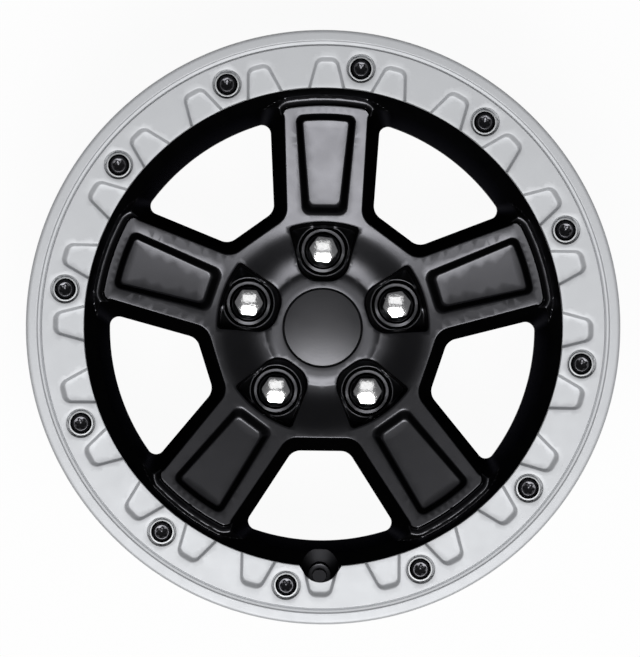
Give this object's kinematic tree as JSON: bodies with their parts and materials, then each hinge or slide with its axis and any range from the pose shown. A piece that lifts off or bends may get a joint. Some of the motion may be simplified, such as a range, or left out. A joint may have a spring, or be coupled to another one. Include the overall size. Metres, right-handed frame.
{
  "type": "beadlock car wheel",
  "caption": "Cast spoked car wheel for off-road use. A clamp ring held by screws presses the outer tyre bead against the rim. Nuts hold it on the hub, and a cap covers the hub bore.",
  "frame": {"origin": "on the wheel's axis, at the hub mounting face that lies against the vehicle's hub", "axes": "+Z along the wheel's axis towards the street side, +Y towards the first spoke, away from the valve hole"},
  "size_m": [0.4779, 0.478, 0.2266],
  "materials": {
    "casting": "satin",
    "clamp_ring": "satin",
    "screw": "satin",
    "washer": "satin",
    "wheel_nut": "polished",
    "cap": "satin",
    "spring_wire": "satin"
  },
  "bodies": {
    "root": {"wheel_casting": "casting", "clamp_ring": "clamp_ring", "centre_cap": "cap", "cap_spring_ring": "spring_wire", "ring_screw_01": "screw", "ring_screw_02": "screw", "ring_screw_03": "screw", "ring_screw_04": "screw", "ring_screw_05": "screw", "ring_screw_06": "screw", "ring_screw_07": "screw", "ring_screw_08": "screw", "ring_screw_09": "screw", "ring_screw_10": "screw", "ring_screw_11": "screw", "ring_screw_12": "screw", "ring_washer_01": "washer", "ring_washer_02": "washer", "ring_washer_03": "washer", "ring_washer_04": "washer", "ring_washer_05": "washer", "ring_washer_06": "washer", "ring_washer_07": "washer", "ring_washer_08": "washer", "ring_washer_09": "washer", "ring_washer_10": "washer", "ring_washer_11": "washer", "ring_washer_12": "washer", "wheel_nut_1": "wheel_nut", "wheel_nut_2": "wheel_nut", "wheel_nut_3": "wheel_nut", "wheel_nut_4": "wheel_nut", "wheel_nut_5": "wheel_nut"}
  },
  "joints": []
}
